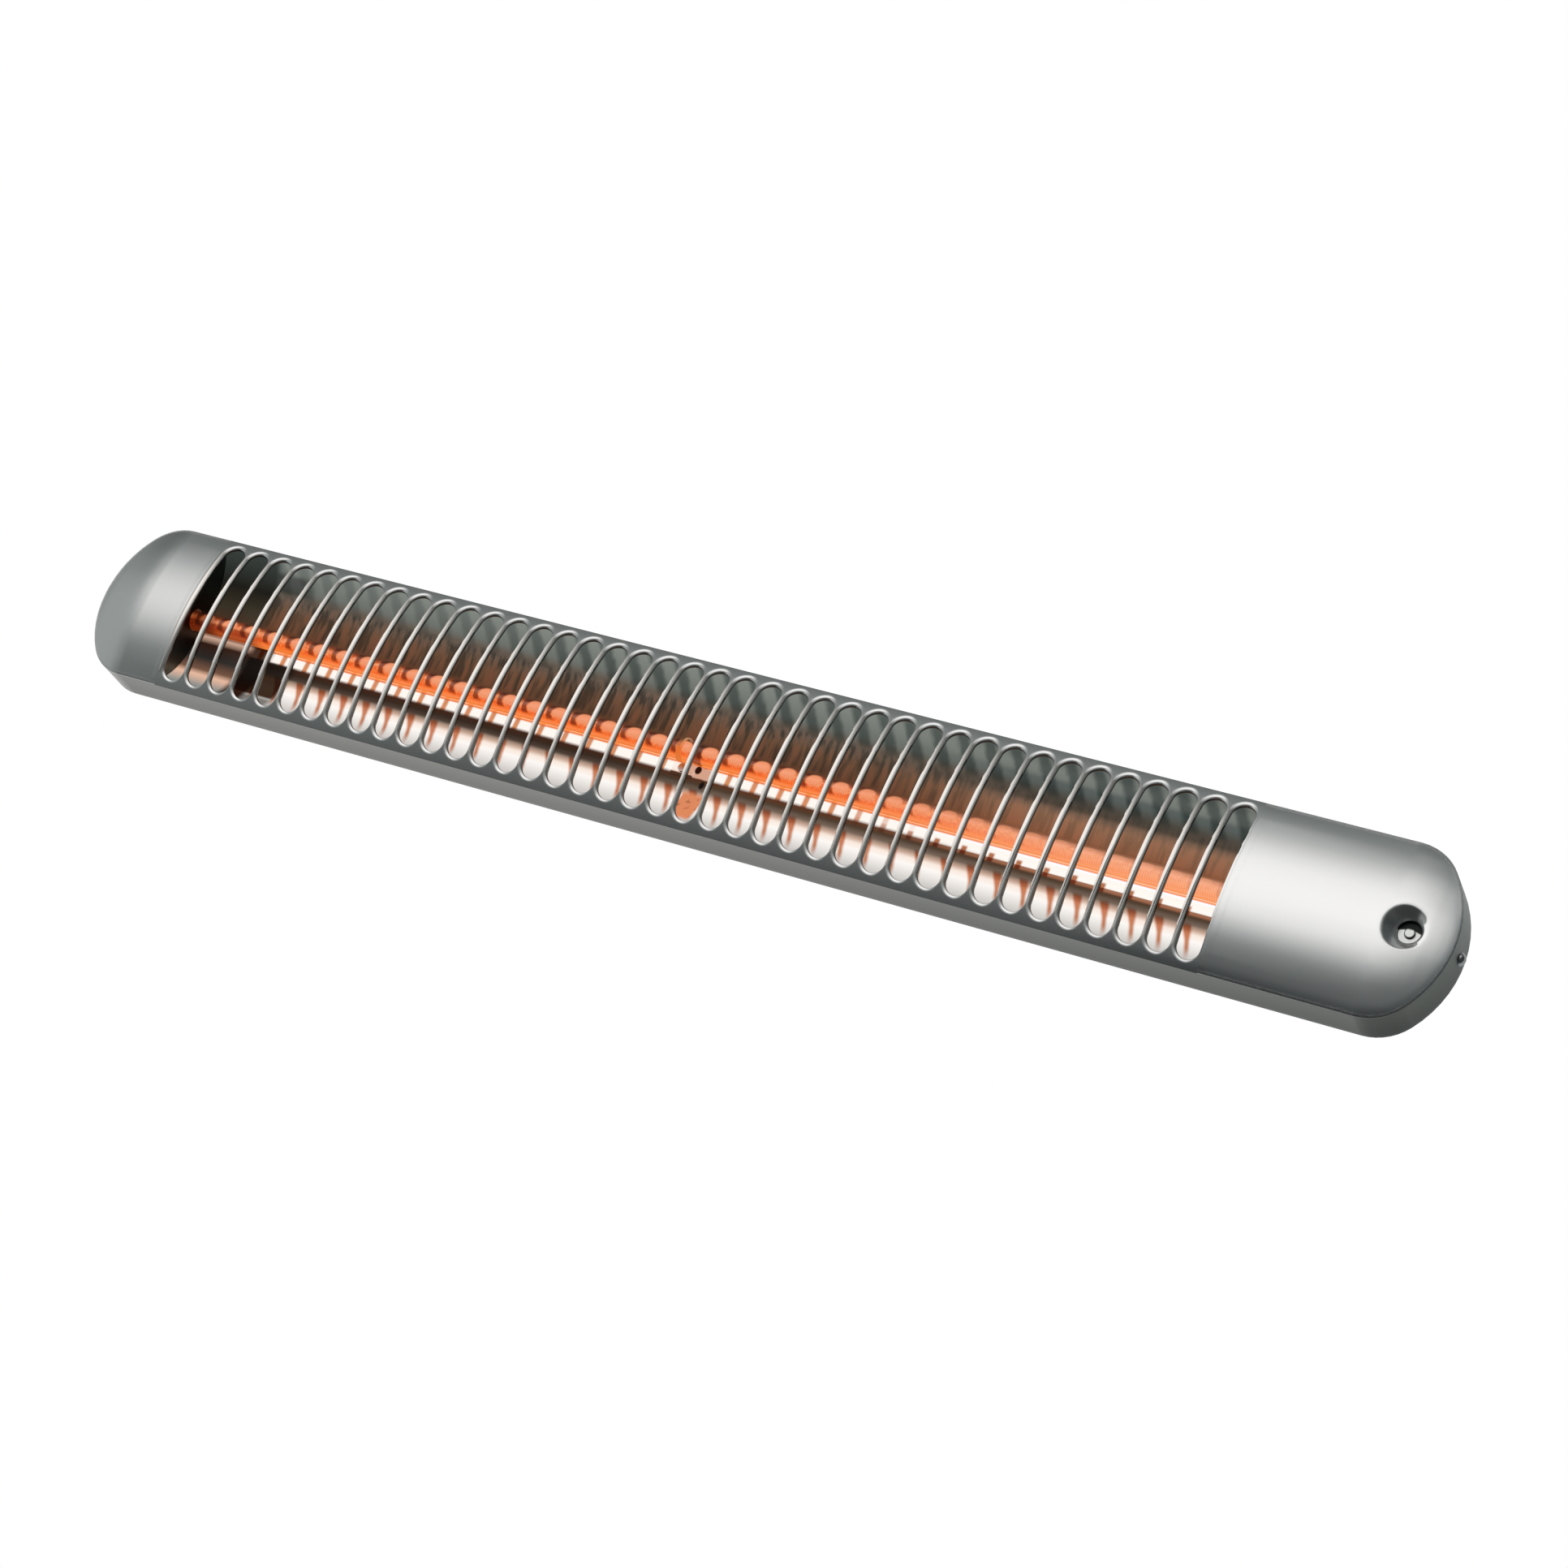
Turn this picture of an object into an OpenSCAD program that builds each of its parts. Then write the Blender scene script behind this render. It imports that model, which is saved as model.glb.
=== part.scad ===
// Electric bar heater: a slotted aluminium cover over a quartz tube element on a steel wall tray.
// X runs along the heater, Y points back to the wall, which is the plane y = 0, and Z points up.
// A depth is a distance in front of the wall, so depth d lies at y = -d.

/* [Cover] */
// Overall length of the cover
cover_len = 820; // [800:1:900]
// Height of the cover over its side walls
cover_w = 96.5; // [95:0.5:104]
// Depth of the straight side wall, from the wall to the crease
wall_depth = 23; // [22:0.5:27]
// Rise of the arched crown above the crease
crown_rise = 8.8; // [8.4:0.1:10]
// Length of each rounded end, seen from the front
end_len = 35; // [34:0.5:38]
// Radius of the four corners, seen from the front
corner_r = 28; // [26:0.5:29]
// Thickness of the drawn aluminium sheet
cover_t = 1.2; // [1:0.1:1.4]

/* [Grille] */
// Plain length of the cover left of the first slot's rim
plain_left = 63; // [60:1:66]
// Least plain length right of the last slot's rim, where the switch sits
plain_right = 117; // [116:1:120]
// Distance from slot to slot
slot_pitch = 16; // [15:0.25:16]
// Clear width of a slot
slot_w = 12.6; // [11:0.1:12.8]
// Clear length of a slot, over its round ends
slot_len = 88; // [76:1:88]
// Depth of the rolled lip round each slot
lip_depth = 1.8; // [1.6:0.1:3]
// Margin of the lipped field beyond the slots at each end
field_margin = 4; // [3:0.5:6]
// Width left flat between the rims of two neighbouring slots
rim_land = 0.4; // [0.3:0.1:0.6]
// How far the roll of a rim would stand proud if it were not trimmed to the crown
rim_trim = 0.15; // [0.1:0.05:0.25]

/* [Button recess] */
// Distance of the recess axis from the right-hand end of the cover
recess_inset = 23.5; // [22:0.5:28]
// Diameter of the hole at the foot of the recess
recess_hole_d = 12.4; // [11:0.1:14]
// Depth of that hole's edge behind the top of the crown
recess_depth = 5.9; // [5.5:0.1:7]
// Slope of the conical wall, from its axis
recess_angle = 50; // [40:1:52]
// Length of the collar behind the hole
collar_len = 3.5; // [3:0.1:4]

/* [Push button and switch] */
// Clearance round the button in its collar
button_gap = 0.3; // [0.2:0.05:0.5]
// How far the button's face lies behind the edge of the hole
button_sink = 2.3; // [1:0.1:2.5]
// Thickness of the button's disc
button_t = 2.5; // [2:0.1:3]
// Diameter of the boss in the middle of the button
boss_d = 5.2; // [4:0.1:6]
// Height of that boss
boss_h = 1.2; // [0.8:0.1:1.6]
// Diameter of the button's stem
stem_d = 5; // [4:0.1:6]
// Radial clearance of the stem in the switch
stem_gap = 0.06; // [0.03:0.01:0.1]
// Length of the stem
stem_len = 7.5; // [6:0.1:8]
// Travel of the button
button_travel = 2; // [1:0.1:2.5]
// Length of the switch body along the heater
switch_len = 22; // [18:0.5:24]
// Height of the switch body
switch_h = 18; // [14:0.5:20]
// Diameter of the neck on the switch body
neck_d = 9; // [8:0.1:10]
// Length of that neck
neck_len = 2.5; // [2:0.1:3]
// Clearance kept behind a fully pressed button
press_gap = 0.6; // [0.4:0.1:1]
// Thickness of the plate that carries the switch
bracket_t = 1.5; // [1:0.1:2]
// Overhang of that plate beyond each end of the switch
bracket_wing = 6; // [5.5:0.1:6.5]

/* [Back tray] */
// Thickness of the steel tray
tray_t = 1; // [0.8:0.1:1.2]
// Clearance between the tray and the cover
tray_gap = 0.3; // [0.2:0.05:0.4]
// Depth of the tray's flange, where the reflector rests
tray_depth = 18.4; // [17:0.1:19]
// Distance of the wall holes from each end of the cover
wall_hole_inset = 130; // [125:1:150]
// Spacing of the wall holes up the wall
wall_hole_rise = 56; // [48:1:64]
// Diameter of the wall holes
wall_hole_d = 5; // [4:0.1:6]
// Distance of the cable entry from the right-hand end
cable_inset = 58; // [56:0.5:62]
// Drop of the cable entry below the middle
cable_drop = 22; // [20:0.5:24]
// Diameter of the cable entry hole in the tray
cable_hole_d = 13; // [12:0.1:14]
// Bore of the rubber grommet
grommet_bore = 8; // [6:0.1:9]
// Diameter of the grommet's flange
grommet_flange_d = 17; // [15.5:0.1:18]
// Thickness of the grommet's flange
grommet_flange_t = 2; // [1.5:0.1:2.5]

/* [Reflector] */
// Thickness of the reflector sheet
reflector_t = 0.6; // [0.5:0.1:0.8]
// Depth of the reflector's flat floor
floor_depth = 4; // [3.6:0.1:4.4]
// Height of that flat floor
floor_w = 24; // [20:0.5:28]
// Distance from the tray's flange to the edge of the wing
wing_inset = 1.25; // [1.1:0.05:1.5]
// Set-back of the reflector's lip from the outside of the tray
lip_gap = 0.15; // [0.1:0.05:0.3]
// Thickness of the end plates
end_plate_t = 0.8; // [0.6:0.1:1]
// Distance from the outer slots to the end plates
end_plate_margin = 0.5; // [0.2:0.1:1.5]
// Clearance between an end plate and the lipped crown
end_plate_gap = 0.5; // [0.3:0.1:1]
// Length of the foot on each end plate
plate_foot_len = 8; // [7:0.5:9]
// Height of that foot
plate_foot_h = 40; // [36:1:42]

/* [Quartz element] */
// Outside diameter of the quartz tube
tube_d = 12; // [11:0.1:12.5]
// Wall of the quartz tube
tube_wall = 1.2; // [1:0.1:1.4]
// Depth of the tube's axis
axis_depth = 12; // [11.8:0.1:12.4]
// Length of tube beyond each end plate
tube_overhang = 10; // [9:0.5:11]
// Clearance round the tube in the end plates
tube_hole_gap = 0.4; // [0.3:0.05:0.6]
// Outside diameter of the wound wire
coil_d = 8.6; // [8:0.1:8.8]
// Diameter of the resistance wire
wire_d = 0.8; // [0.6:0.05:0.9]
// Number of curls in the coil
coil_turns = 90; // [60:1:92]
// Diameter of the ceramic caps
cap_d = 19; // [18:0.1:20]
// Length of a ceramic cap
cap_len = 22; // [20:0.5:24]
// Gap between a cap and its end plate
cap_gap = 0.3; // [0.2:0.05:0.5]
// Radial clearance of the tube and the pin in a cap
cap_fit = 0.1; // [0.05:0.01:0.15]
// Depth of the groove that takes the holder
cap_groove = 0.7; // [0.5:0.05:0.9]
// Diameter of the terminal pins
pin_d = 2.5; // [2:0.1:3]
// Thickness of the pin's head, to which the wire is welded
pin_head_t = 2; // [1.5:0.1:2.5]
// Length of pin beyond the cap
pin_out = 8; // [6:0.5:9]

/* [Supports] */
// Thickness of the cap holders
holder_t = 1; // [0.8:0.1:1.2]
// Wall of the holder beside the cap
holder_wall = 1.5; // [1:0.1:2]
// Length of the holder's foot
holder_foot = 9; // [8:0.5:10]
// Width of the tube clip along the tube
clip_w = 3; // [2:0.1:4]
// Thickness of the tube clip
clip_t = 0.8; // [0.6:0.1:1]
// Radial clearance of the tube in its clip
clip_gap = 0.2; // [0.1:0.05:0.3]
// Length of the clip's foot along the tube
clip_foot_len = 13; // [10:0.5:16]
// Height of the clip's foot
clip_foot_h = 20; // [18:0.5:22]
// Distance between the two hat stands
stand_span = 360; // [240:2:440]
// Length of a hat stand along the heater
stand_len = 14; // [12:0.5:20]
// Height of the crown of a hat stand
stand_top_h = 14; // [12:0.5:16]
// Height of each foot of a hat stand
stand_foot_h = 6; // [5.5:0.1:8]

/* [Wiring] */
// Diameter of the insulated leads
lead_d = 2.6; // [2.2:0.1:2.8]
// Bend radius of the leads
lead_bend = 5; // [4:0.5:6]
// Clearance round a lead in the end plates
lead_gap = 0.5; // [0.4:0.1:0.8]
// Height of the return lead above the middle
lead_rise = 36; // [35:0.5:37]
// Depth of the return lead behind the reflector
lead_depth = 5.5; // [5:0.1:6]
// Diameter of the thermal cut-out
cutout_d = 15; // [13:0.1:15.5]
// Length of the thermal cut-out's body
cutout_len = 8; // [7:0.1:9]
// Height of the thermal cut-out above the middle
cutout_rise = 23; // [22:0.5:23.5]
// Length of the terminal block
block_len = 30; // [27:0.5:31]
// Height of the terminal block
block_h = 14; // [12:0.5:15]
// Depth of the terminal block, from the tray
block_t = 12; // [10:0.5:13]
// Height of the terminal block's middle above the middle of the heater
block_rise = 24; // [23:0.5:25]
// Distance of the terminal block's middle from the right-hand end
block_inset = 57; // [56:0.5:58]
// Number of poles in the terminal block
pole_count = 3; // [3:1:3]
// Width of the groove between two poles
pole_groove = 1.6; // [1:0.1:2]
// Diameter of the terminal screws
terminal_screw_d = 3.2; // [2.6:0.1:3.4]
// Length of cord clamp along the heater
clamp_len = 8; // [7:0.5:9]
// Height of the cord clamp
clamp_h = 26; // [24:0.5:27]
// Thickness of the cord clamp, from the tray
clamp_t = 7; // [6:0.5:8]
// Diameter of the cable that the clamp takes
clamp_cable_d = 7; // [6:0.1:8]
// Distance of the clamp from the cable entry
clamp_span = 22; // [21:0.5:23]
// Width of the spade tabs
tab_w = 4; // [3:0.1:4.8]
// Thickness of the spade tabs
tab_t = 0.8; // [0.6:0.1:1]
// Length of the spade tabs
tab_len = 6; // [5:0.1:7]

/* [Fasteners] */
// Depth of the cover screws' axis
cover_screw_depth = 8.5; // [8:0.1:9]
// Diameter of a cover screw's head
cover_head_d = 7; // [6:0.1:8]
// Height of a cover screw's head
cover_head_h = 2.6; // [2.2:0.1:3]
// Diameter of a cover screw's shank
cover_shank_d = 3.5; // [3:0.1:4]
// Length of a cover screw's shank inside the tray
cover_shank_end = 4; // [3:0.5:5]
// Clearance round the shank in the cover
cover_shank_gap = 0.4; // [0.3:0.05:0.6]
// Clearance round the shank in the tray
thread_gap = 0.05; // [0.03:0.01:0.08]
// Diameter of the small screw heads
screw_head_d = 5; // [4.4:0.1:5.2]
// Height of the small screw heads
screw_head_h = 1.6; // [1.2:0.1:2]
// Diameter of the small screws
screw_d = 3; // [2.5:0.1:3.2]
// Clearance round the small screws in their plates
screw_gap = 0.1; // [0.05:0.05:0.2]
// Diameter of the earth stud
earth_d = 4; // [3:0.1:4]
// Height of the earth stud
earth_h = 8; // [7:0.5:10]
// Width of the earth nut across its corners
earth_nut_d = 8; // [7:0.1:8.4]
// Height of the earth nut
earth_nut_h = 3; // [2.5:0.1:3.5]

/* [Hidden] */

// Overrun of a cut past the face that it opens
over = 1;
// Facets of large arcs, of small round parts and of rims in the preview
crown_fn = 360;
part_fn = 64;
rim_fn = 24;

// Crown: an arc across the heater, swept straight and then turned down at each end
crown_depth = wall_depth + crown_rise;
crown_r = (cover_w * cover_w / 4 + crown_rise * crown_rise) / (2 * crown_rise);
end_sweep_r = (end_len * end_len + crown_rise * crown_rise) / (2 * crown_rise);
end_x = cover_len / 2 - end_len;

// Outline: corner arcs joined by a large tangent arc at each end
corner_z = cover_w / 2 - corner_r;
end_r = (end_len * end_len + corner_z * corner_z - corner_r * corner_r) / (2 * (end_len - corner_r));
end_arc_x = cover_len / 2 - end_r;
end_angle = atan2(corner_z, end_x - end_arc_x);

// Grille: as many whole pitches as the plain ends leave room for, counted with a little slack
count_slack_share = 0.001;
slot_count = floor((cover_len - plain_left - plain_right) / slot_pitch + count_slack_share);
grille_x = plain_left + slot_count * slot_pitch / 2 - cover_len / 2;
grille_half = (slot_count - 1) * slot_pitch / 2;
rim_r = (slot_pitch - slot_w) / 2;
rim_centre_r = crown_r - rim_r + rim_trim;
slot_end_z = (slot_len - slot_w) / 2;
slot_tilt = asin(slot_end_z / crown_r);
field_half = grille_half + slot_pitch / 2 + field_margin;
cut_reach = 2 * lip_depth;

// Tray and reflector
wall_hole_span = cover_len - 2 * wall_hole_inset;
tray_inset = cover_t + tray_gap;
tray_inside_z = cover_w / 2 - tray_inset - tray_t;
lip_front = tray_depth + reflector_t;
wing_z = tray_inside_z - wing_inset;
wing_rise = lip_front - floor_depth;
wing_run = wing_z - floor_w / 2;
wing_r = (wing_run * wing_run + wing_rise * wing_rise) / (2 * wing_rise);
plate_left = grille_x - grille_half - slot_w / 2 - end_plate_margin - slot_w / 2;
plate_right = grille_x + grille_half + slot_w / 2 + end_plate_margin + slot_w / 2;
plate_z = wing_z;
foot_screw_z = (plate_foot_h - screw_head_d) / 2 - over;

// Element
tube_left = plate_left - tube_overhang;
tube_right = plate_right + tube_overhang;
coil_r = (coil_d - wire_d) / 2;
coil_pitch = (plate_right - plate_left - 2 * wire_d) / coil_turns;
cap_start = end_plate_t + cap_gap;
cap_end = cap_start + cap_len;
cap_bore = tube_overhang - cap_start + cap_gap;
holder_at = cap_start + cap_len / 2;
pin_end = cap_end + pin_out;
reflector_x = (plate_left + plate_right) / 2;

// Button and switch
recess_x = cover_len / 2 - recess_inset;
hole_edge = crown_depth - recess_depth;
button_face = hole_edge - button_sink;
button_back = button_face - button_t;
neck_front = button_back - button_travel - press_gap;
switch_front = neck_front - neck_len;
switch_back = tray_t + bracket_t;
stem_end = button_back - stem_len;
stem_bore_end = stem_end - button_travel - press_gap;

// Wiring
cable_x = cover_len / 2 - cable_inset;
clamp_x = cable_x - clamp_span;
block_x = cover_len / 2 - block_inset;
block_front = tray_t + block_t;
pole_pitch = block_len / pole_count;
cutout_front = plate_right + end_plate_t + cutout_len;
tab_z = switch_h / 4;
switch_left = recess_x - switch_len / 2;
switch_tab_depth = (switch_back + switch_front) / 2;

// The outline seen from the front is extruded from one depth to another
module prism(from, to) {
    translate([0, -from, 0]) rotate([90, 0, 0]) linear_extrude(to - from) children();
}

// A section drawn as depth and height is extruded along the heater, from x0 to x1
module run(x0, x1) {
    translate([x0, 0, 0]) rotate([0, 90, 0]) rotate([0, 0, -90])
        linear_extrude(x1 - x0) mirror([0, 1]) children();
}

// A round post that stands square to the wall
module post(x, z, from, to, r, facets = part_fn) {
    translate([x, -from, z]) rotate([90, 0, 0]) cylinder(h = to - from, r = r, $fn = facets);
}

// A round bar along the heater
module bar(x0, x1, depth, z, r) {
    translate([x0, -depth, z]) rotate([0, 90, 0]) cylinder(h = x1 - x0, r = r, $fn = part_fn);
}

// A block given by its range along the heater, up the wall and in depth
module slab(x, z, depth) {
    translate([x[0], -depth[1], z[0]]) cube([x[1] - x[0], depth[1] - depth[0], z[1] - z[0]]);
}

module small_screw(x, z, depth, grip) {
    post(x, z, depth - grip, depth, screw_d / 2);
    post(x, z, depth, depth + screw_head_h, screw_head_d / 2);
}

module screw_hole(x, z, depth, grip) {
    post(x, z, depth - grip - over, depth + over, screw_d / 2 + screw_gap);
}

module at_ends() {
    for (side = [0, 1]) mirror([side, 0, 0]) children();
}

// Outline of the heater from the front, moved in by inset
module outline(inset) {
    square([2 * end_x, cover_w - 2 * inset], center = true);
    at_ends() {
        for (z = [-corner_z, corner_z]) translate([end_x, z]) circle(corner_r - inset, $fn = 2 * part_fn);
        translate([end_arc_x, 0]) intersection() {
            circle(end_r - inset, $fn = 3 * part_fn);
            polygon([[0, 0], end_r * [1, tan(end_angle)], end_r * [1, -tan(end_angle)]]);
        }
    }
}

// Space behind the crown, moved in by inset
module crown(inset) {
    run(-end_x, end_x) intersection() {
        translate([crown_depth - crown_r, 0]) circle(crown_r - inset, $fn = crown_fn);
        translate([-over, -cover_w / 2 - over]) square([crown_depth + 2 * over, cover_w + 2 * over]);
    }
    at_ends() translate([end_x, end_sweep_r - crown_depth, 0]) rotate([0, 0, -90])
        rotate_extrude(angle = 90, $fn = crown_fn / 2) intersection() {
            translate([end_sweep_r - crown_r, 0]) circle(crown_r - inset, $fn = crown_fn);
            translate([0, -cover_w / 2 - over]) square([end_sweep_r + over, cover_w + 2 * over]);
        }
}

// Section of a slot as distance from the crown's axis and half width, with its rolled rims left in the metal
module slot_section() {
    translate([crown_r - cut_reach, -slot_w / 2]) square([cut_reach + over, slot_w]);
    difference() {
        translate([rim_centre_r, rim_land / 2 - slot_pitch / 2]) square([rim_r + over, slot_pitch - rim_land]);
        for (side = [-1, 1]) translate([rim_centre_r, side * slot_pitch / 2]) circle(rim_r, $fn = rim_fn);
    }
}

module slot_cut(x) {
    translate([x, crown_r - crown_depth, 0]) {
        rotate([0, 90, 0]) rotate([0, 0, -90 - slot_tilt])
            rotate_extrude(angle = 2 * slot_tilt, $fn = crown_fn / 4) slot_section();
        for (end = [0, 1]) mirror([0, 0, end]) rotate([-slot_tilt, 0, 0]) rotate([90, 0, 0])
            rotate_extrude($fn = part_fn / 2) intersection() {
                rotate(90) mirror([0, 1]) slot_section();
                translate([0, crown_r - cut_reach - over]) square([slot_pitch, cut_reach + 3 * over]);
            }
    }
}

// Cone of the recess, moved out by grow, from one depth to another
module recess_cone(grow, from, to) {
    r = recess_hole_d / 2 + grow;
    translate([recess_x, -from, 0]) rotate([90, 0, 0]) cylinder(h = to - from,
        r1 = r + (from - hole_edge) * tan(recess_angle), r2 = r + (to - hole_edge) * tan(recess_angle),
        $fn = part_fn);
}

// Outer skin of the cover with the inside taken out, but for the deep lips of the slotted field
module cover_shell() {
    difference() {
        intersection() {
            crown(0);
            prism(0, crown_depth + over) outline(0);
        }
        difference() {
            intersection() {
                crown(cover_t);
                prism(-over, crown_depth) outline(cover_t);
            }
            difference() {
                slab([grille_x - field_half, grille_x + field_half], [-plate_z - over, plate_z + over],
                    [wall_depth - lip_depth, crown_depth]);
                crown(lip_depth);
            }
        }
    }
}

module front_cover() {
    color([0.78, 0.79, 0.79]) difference() {
        union() {
            cover_shell();
            intersection() {
                recess_cone(cover_t / cos(recess_angle), hole_edge, crown_depth);
                crown(cover_t / 2);
            }
            post(recess_x, 0, hole_edge - collar_len, hole_edge + over, recess_hole_d / 2 + cover_t);
        }
        recess_cone(0, hole_edge, crown_depth + over);
        post(recess_x, 0, hole_edge - collar_len - over, hole_edge + over, recess_hole_d / 2);
        at_ends() bar(end_x, cover_len / 2 + over, cover_screw_depth, 0, cover_shank_d / 2 + cover_shank_gap);
        for (i = [0 : slot_count - 1]) slot_cut(grille_x - grille_half + i * slot_pitch);
    }
}

// Steel tray, which is screwed to the wall and closes the back of the cover
module back_tray() {
    color([0.62, 0.63, 0.64]) difference() {
        prism(0, tray_depth) outline(tray_inset);
        prism(tray_t, tray_depth + over) outline(tray_inset + tray_t);
        for (x = [-1, 1], z = [-1, 1])
            post(x * wall_hole_span / 2, z * wall_hole_rise / 2, -over, tray_t + over, wall_hole_d / 2);
        post(cable_x, -cable_drop, -over, tray_t + over, cable_hole_d / 2);
        at_ends() bar(end_x, cover_len / 2, cover_screw_depth, 0, cover_shank_d / 2 + thread_gap);
    }
}

// Space in front of the reflector up to a given depth, moved back by grow, as depth and height
module trough(grow, front) {
    translate([floor_depth - grow, -floor_w / 2]) square([front - floor_depth + grow, floor_w]);
    for (side = [0, 1]) mirror([0, side]) intersection() {
        translate([floor_depth + wing_r, floor_w / 2]) circle(wing_r + grow, $fn = crown_fn);
        translate([0, floor_w / 2]) square([front, cover_w / 2]);
    }
}

// Trough-shaped reflector, whose lips rest on the tray's flange
module reflector() {
    lip_z = cover_w / 2 - tray_inset - lip_gap;
    color([0.85, 0.85, 0.86]) difference() {
        run(plate_left, plate_right) difference() {
            union() {
                trough(reflector_t, lip_front);
                translate([tray_depth, -lip_z]) square([reflector_t, 2 * lip_z]);
            }
            trough(0, lip_front + over);
        }
        screw_hole(reflector_x, clip_screw_z(), floor_depth, reflector_t);
    }
}

function clip_screw_z() = -(floor_w / 2 + clip_w) / 2;

// End plate that closes the reflector and guides the tube, with its foot away from the reflector
module end_plate() {
    difference() {
        union() {
            run(0, end_plate_t) difference() {
                intersection() {
                    translate([crown_depth - crown_r, 0]) circle(crown_r - lip_depth - end_plate_gap, $fn = crown_fn);
                    translate([tray_t, -plate_z]) square([crown_depth, 2 * plate_z]);
                }
                translate([axis_depth, 0]) circle(tube_d / 2 + tube_hole_gap, $fn = part_fn);
                translate([lead_depth, lead_rise]) circle(lead_d / 2 + lead_gap, $fn = part_fn);
            }
            slab([end_plate_t, end_plate_t + plate_foot_len], [-plate_foot_h / 2, plate_foot_h / 2],
                [tray_t, tray_t + end_plate_t]);
        }
        for (side = [-1, 1])
            screw_hole(end_plate_t + plate_foot_len / 2, side * foot_screw_z, tray_t + end_plate_t, end_plate_t);
    }
}

module reflector_end_left() {
    color([0.6, 0.62, 0.62]) translate([plate_left, 0, 0]) mirror([1, 0, 0]) end_plate();
}

module reflector_end_right() {
    color([0.6, 0.62, 0.62]) translate([plate_right, 0, 0]) end_plate();
}

module quartz_tube() {
    color([0.95, 0.9, 0.85, 0.4]) difference() {
        bar(tube_left, tube_right, axis_depth, 0, tube_d / 2);
        bar(tube_left - over, tube_right + over, axis_depth, 0, tube_d / 2 - tube_wall);
    }
}

// Rings of six points round each point of a path, joined to one closed tube
function swept(rings) = let (sides = len(rings[0]), count = len(rings)) [
    [for (ring = rings) for (p = ring) p],
    concat(
        [for (i = [0 : count - 2]) for (j = [0 : sides - 1]) let (k = (j + 1) % sides)
            each [[i * sides + j, i * sides + k, (i + 1) * sides + k],
                [i * sides + j, (i + 1) * sides + k, (i + 1) * sides + j]]],
        [for (j = [1 : sides - 2]) [0, j + 1, j]],
        [for (j = [1 : sides - 2]) let (b = (count - 1) * sides) [b, b + j, b + j + 1]])];

function unit(v) = v / norm(v);

// A ring about point p, square to direction t, turned so that its first point lies towards side
function ring(p, t, side, r, sides) = let (a = unit(side - (side * t) * t), b = cross(t, a))
    [for (j = [0 : sides - 1]) p + r * (cos(360 * j / sides) * a + sin(360 * j / sides) * b)];

// Middle line of the coil, 8 rings a curl, and its direction there
coil_rings = 8;
function coil_turn(i) = 360 * i / coil_rings;
function coil_point(i) = [plate_left + wire_d + i * coil_pitch / coil_rings,
    coil_r * cos(coil_turn(i)) - axis_depth, coil_r * sin(coil_turn(i))];
function coil_side(i) = [0, cos(coil_turn(i)), sin(coil_turn(i))];
coil_last = coil_turns * coil_rings;
function coil_way(i) = i == 0 || i == coil_last ? [1, 0, 0] : unit(coil_point(i + 1) - coil_point(i - 1));

// Resistance wire, wound in one helix, with a straight end one wire diameter long welded to each pin
module heating_coil() {
    rings = concat(
        [ring(coil_point(0) - [wire_d, 0, 0], [1, 0, 0], coil_side(0), wire_d / 2, 6)],
        [for (i = [0 : coil_last]) ring(coil_point(i), coil_way(i), coil_side(i), wire_d / 2, 6)],
        [ring(coil_point(coil_last) + [wire_d, 0, 0], [1, 0, 0], coil_side(coil_last), wire_d / 2, 6)]);
    mesh = swept(rings);
    color([1, 0.45, 0.1]) polyhedron(mesh[0], mesh[1]);
}

// Least gap between one stretch of the coil and the curls after it, along the first three curls
coil_gap = min([for (i = [0 : coil_rings]) for (j = [i + coil_rings / 2 : 3 * coil_rings])
    norm(coil_point(j) - coil_point(i)) - wire_d]);
echo(coil_least_gap_mm = coil_gap);

// Nickel pin, with a head inside the tube that carries the end of the coil
module terminal_pin() {
    bar(0, pin_head_t, axis_depth, 0, coil_d / 2);
    bar(pin_head_t, pin_end, axis_depth, 0, pin_d / 2);
}

module terminal_pin_left() {
    color([0.72, 0.7, 0.66]) translate([plate_left, 0, 0]) mirror([1, 0, 0]) terminal_pin();
}

module terminal_pin_right() {
    color([0.72, 0.7, 0.66]) translate([plate_right, 0, 0]) terminal_pin();
}

// Ceramic cap on the end of the tube, with a groove for its holder
module ceramic_cap() {
    difference() {
        bar(cap_start, cap_end, axis_depth, 0, cap_d / 2);
        bar(cap_start - over, cap_start + cap_bore, axis_depth, 0, tube_d / 2 + cap_fit);
        bar(cap_start, cap_end + over, axis_depth, 0, pin_d / 2 + cap_fit);
        difference() {
            bar(holder_at - holder_t / 2 - cap_fit, holder_at + holder_t / 2 + cap_fit, axis_depth, 0, cap_d);
            bar(cap_start, cap_end, axis_depth, 0, cap_d / 2 - cap_groove);
        }
    }
}

module ceramic_cap_left() {
    color([0.93, 0.91, 0.86]) translate([plate_left, 0, 0]) mirror([1, 0, 0]) ceramic_cap();
}

module ceramic_cap_right() {
    color([0.93, 0.91, 0.86]) translate([plate_right, 0, 0]) ceramic_cap();
}

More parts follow.
